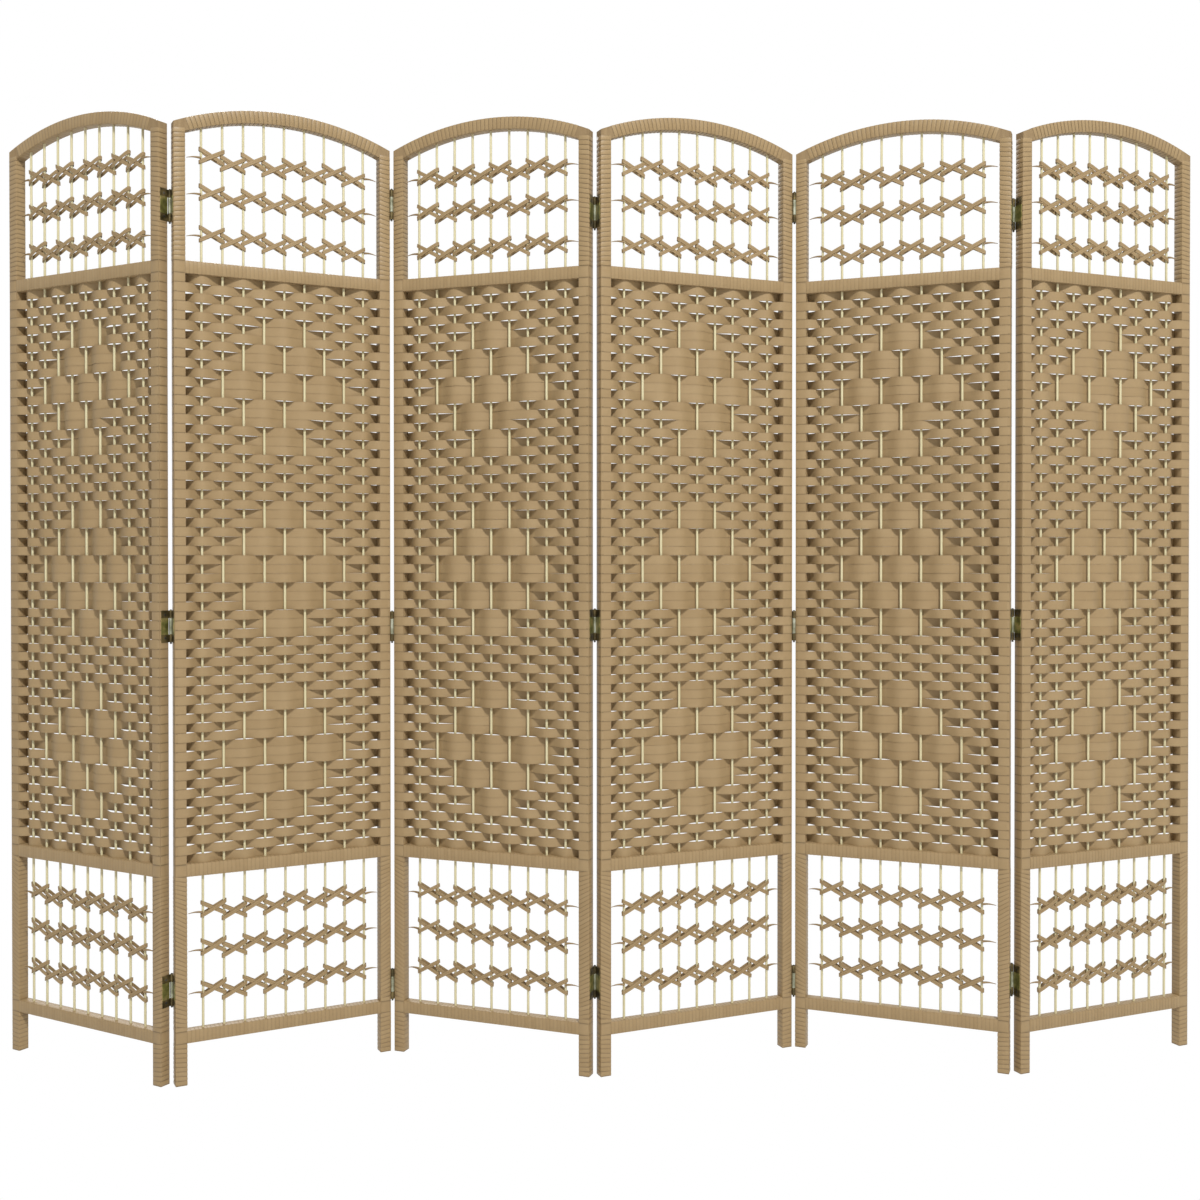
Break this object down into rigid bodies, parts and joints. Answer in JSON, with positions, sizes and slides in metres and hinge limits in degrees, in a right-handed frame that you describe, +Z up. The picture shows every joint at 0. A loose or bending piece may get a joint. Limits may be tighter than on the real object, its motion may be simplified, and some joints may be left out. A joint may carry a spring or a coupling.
{
  "type": "folding screen",
  "caption": "Tall folding screen of arched, strip-bound panels with a diamond-patterned woven middle and open lattice windows, hinged edge to edge so that it stands in a zigzag.",
  "frame": {"origin": "on the floor, under the middle of the standing screen's bounding box", "axes": "+X along the screen, from the first panel to the last as seen from the front; +Y towards the back; +Z up"},
  "size_m": [2.2638, 0.241, 1.757],
  "materials": {
    "strip_bound_frame": "timber bound with matt tan fibre strip",
    "pale_rod": "smooth peeled cream rod",
    "woven_strip": "matt tan fibre strip",
    "lattice_strip": "matt tan fibre strip, rolled",
    "aged_brass": "dulled, darkened brass",
    "dark_pin": "near-black steel"
  },
  "bodies": {
    "panel_1": {"panel_1_left_stile": "strip_bound_frame", "panel_1_right_stile": "strip_bound_frame", "panel_1_arch_rail": "strip_bound_frame", "panel_1_cross_rails": "strip_bound_frame", "panel_1_rods": "pale_rod", "panel_1_weave": "woven_strip", "panel_1_lattice": "lattice_strip", "hinge_1_left_leaves": "aged_brass", "hinge_1_pins": "dark_pin"},
    "panel_2": {"panel_2_left_stile": "strip_bound_frame", "panel_2_right_stile": "strip_bound_frame", "panel_2_arch_rail": "strip_bound_frame", "panel_2_cross_rails": "strip_bound_frame", "panel_2_rods": "pale_rod", "panel_2_weave": "woven_strip", "panel_2_lattice": "lattice_strip", "hinge_2_left_leaves": "aged_brass", "hinge_2_pins": "dark_pin", "hinge_1_right_leaves": "aged_brass"},
    "panel_3": {"panel_3_left_stile": "strip_bound_frame", "panel_3_right_stile": "strip_bound_frame", "panel_3_arch_rail": "strip_bound_frame", "panel_3_cross_rails": "strip_bound_frame", "panel_3_rods": "pale_rod", "panel_3_weave": "woven_strip", "panel_3_lattice": "lattice_strip", "hinge_3_left_leaves": "aged_brass", "hinge_3_pins": "dark_pin", "hinge_2_right_leaves": "aged_brass"},
    "panel_4": {"panel_4_left_stile": "strip_bound_frame", "panel_4_right_stile": "strip_bound_frame", "panel_4_arch_rail": "strip_bound_frame", "panel_4_cross_rails": "strip_bound_frame", "panel_4_rods": "pale_rod", "panel_4_weave": "woven_strip", "panel_4_lattice": "lattice_strip", "hinge_4_left_leaves": "aged_brass", "hinge_4_pins": "dark_pin", "hinge_3_right_leaves": "aged_brass"},
    "panel_5": {"panel_5_left_stile": "strip_bound_frame", "panel_5_right_stile": "strip_bound_frame", "panel_5_arch_rail": "strip_bound_frame", "panel_5_cross_rails": "strip_bound_frame", "panel_5_rods": "pale_rod", "panel_5_weave": "woven_strip", "panel_5_lattice": "lattice_strip", "hinge_5_left_leaves": "aged_brass", "hinge_5_pins": "dark_pin", "hinge_4_right_leaves": "aged_brass"},
    "panel_6": {"panel_6_left_stile": "strip_bound_frame", "panel_6_right_stile": "strip_bound_frame", "panel_6_arch_rail": "strip_bound_frame", "panel_6_cross_rails": "strip_bound_frame", "panel_6_rods": "pale_rod", "panel_6_weave": "woven_strip", "panel_6_lattice": "lattice_strip", "hinge_5_right_leaves": "aged_brass"}
  },
  "joints": [
    {"name": "fold_1", "type": "hinge", "parent": "panel_2", "child": "panel_1", "pos_m": [-0.77024, -0.10029, 0.85], "axis": [0, 0, 1], "range_deg": [-122.31, 57.69]},
    {"name": "fold_2", "type": "hinge", "parent": "panel_3", "child": "panel_2", "pos_m": [-0.40085, 0.06568, 0.85], "axis": [0, 0, -1], "range_deg": [-131.3, 48.7]},
    {"name": "fold_3", "type": "hinge", "parent": "panel_3", "child": "panel_4", "pos_m": [-0.01271, -0.04985, 0.85], "axis": [0, 0, -1], "range_deg": [-135.52, 44.48]},
    {"name": "fold_4", "type": "hinge", "parent": "panel_4", "child": "panel_5", "pos_m": [0.3679, 0.0885, 0.85], "axis": [0, 0, 1], "range_deg": [-134.26, 45.74]},
    {"name": "fold_5", "type": "hinge", "parent": "panel_5", "child": "panel_6", "pos_m": [0.7534, -0.03554, 0.85], "axis": [0, 0, -1], "range_deg": [-134.79, 45.21]}
  ]
}
